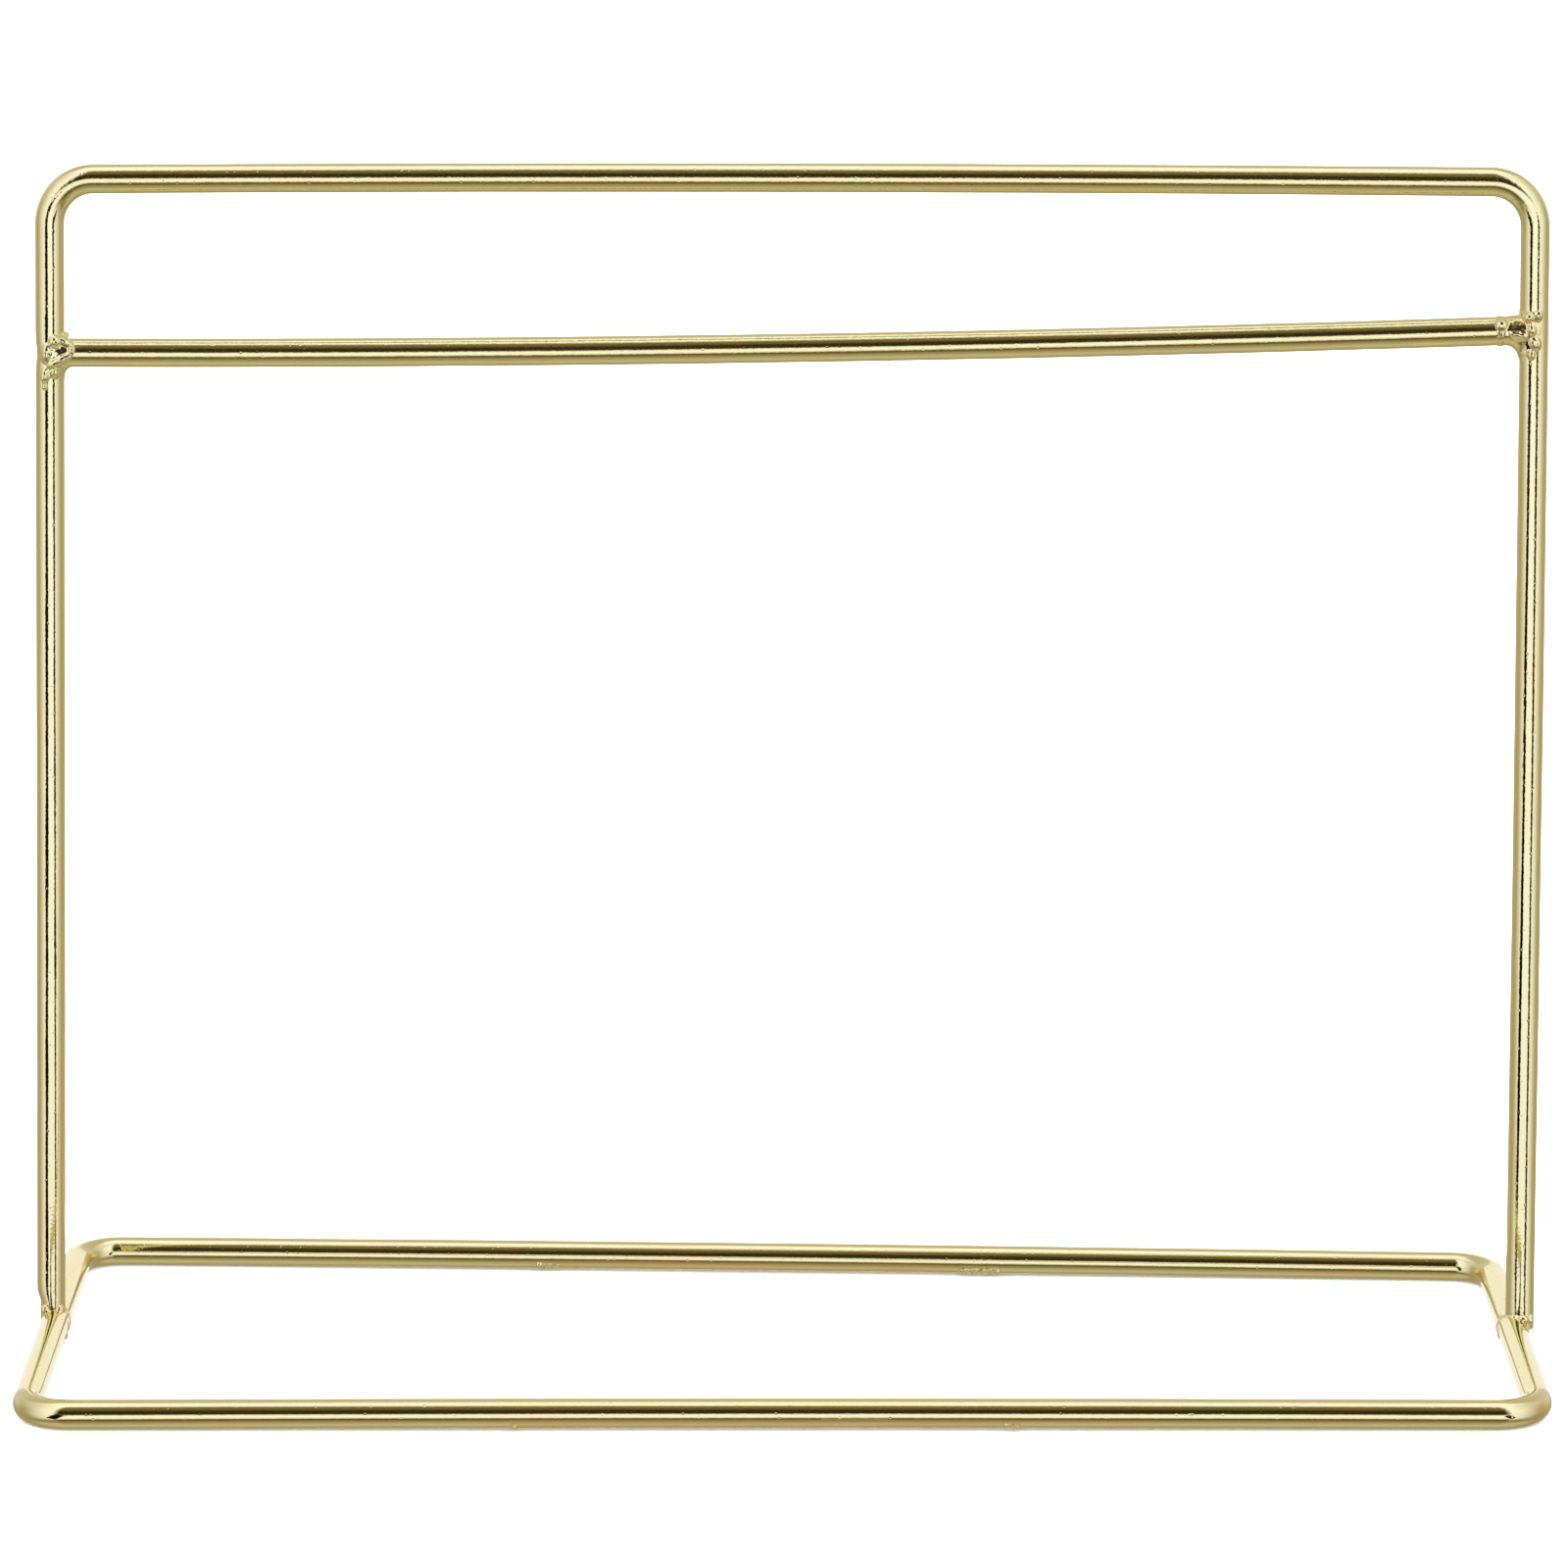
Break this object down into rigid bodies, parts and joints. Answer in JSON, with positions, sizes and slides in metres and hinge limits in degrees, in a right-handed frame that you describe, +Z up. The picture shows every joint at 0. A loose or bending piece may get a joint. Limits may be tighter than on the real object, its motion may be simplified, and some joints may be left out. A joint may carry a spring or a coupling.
{
  "type": "photo album stand",
  "caption": "Welded wire desk stand, an upright frame with a cross rail on a flat base loop, that holds a ring-bound photo album open by its rings.",
  "frame": {"origin": "middle of the stand's footprint, on the surface it stands on", "axes": "+Z up, +X to the right as seen from the front, +Y to the back; the upright frame stands in the XZ plane, within a degree"},
  "size_m": [0.2128, 0.084, 0.1663],
  "materials": {
    "plated_rod": "bright pale-gold electroplate over polished steel rod",
    "plated_weld": "bright pale-gold electroplate over a rough as-welded bead"
  },
  "bodies": {
    "root": {"base_loop": "plated_rod", "base_butt_weld": "plated_weld", "upright_frame": "plated_rod", "cross_rail": "plated_rod", "foot_weld_left": "plated_weld", "foot_weld_right": "plated_weld", "rail_weld_left": "plated_weld", "rail_weld_right": "plated_weld"}
  },
  "joints": []
}
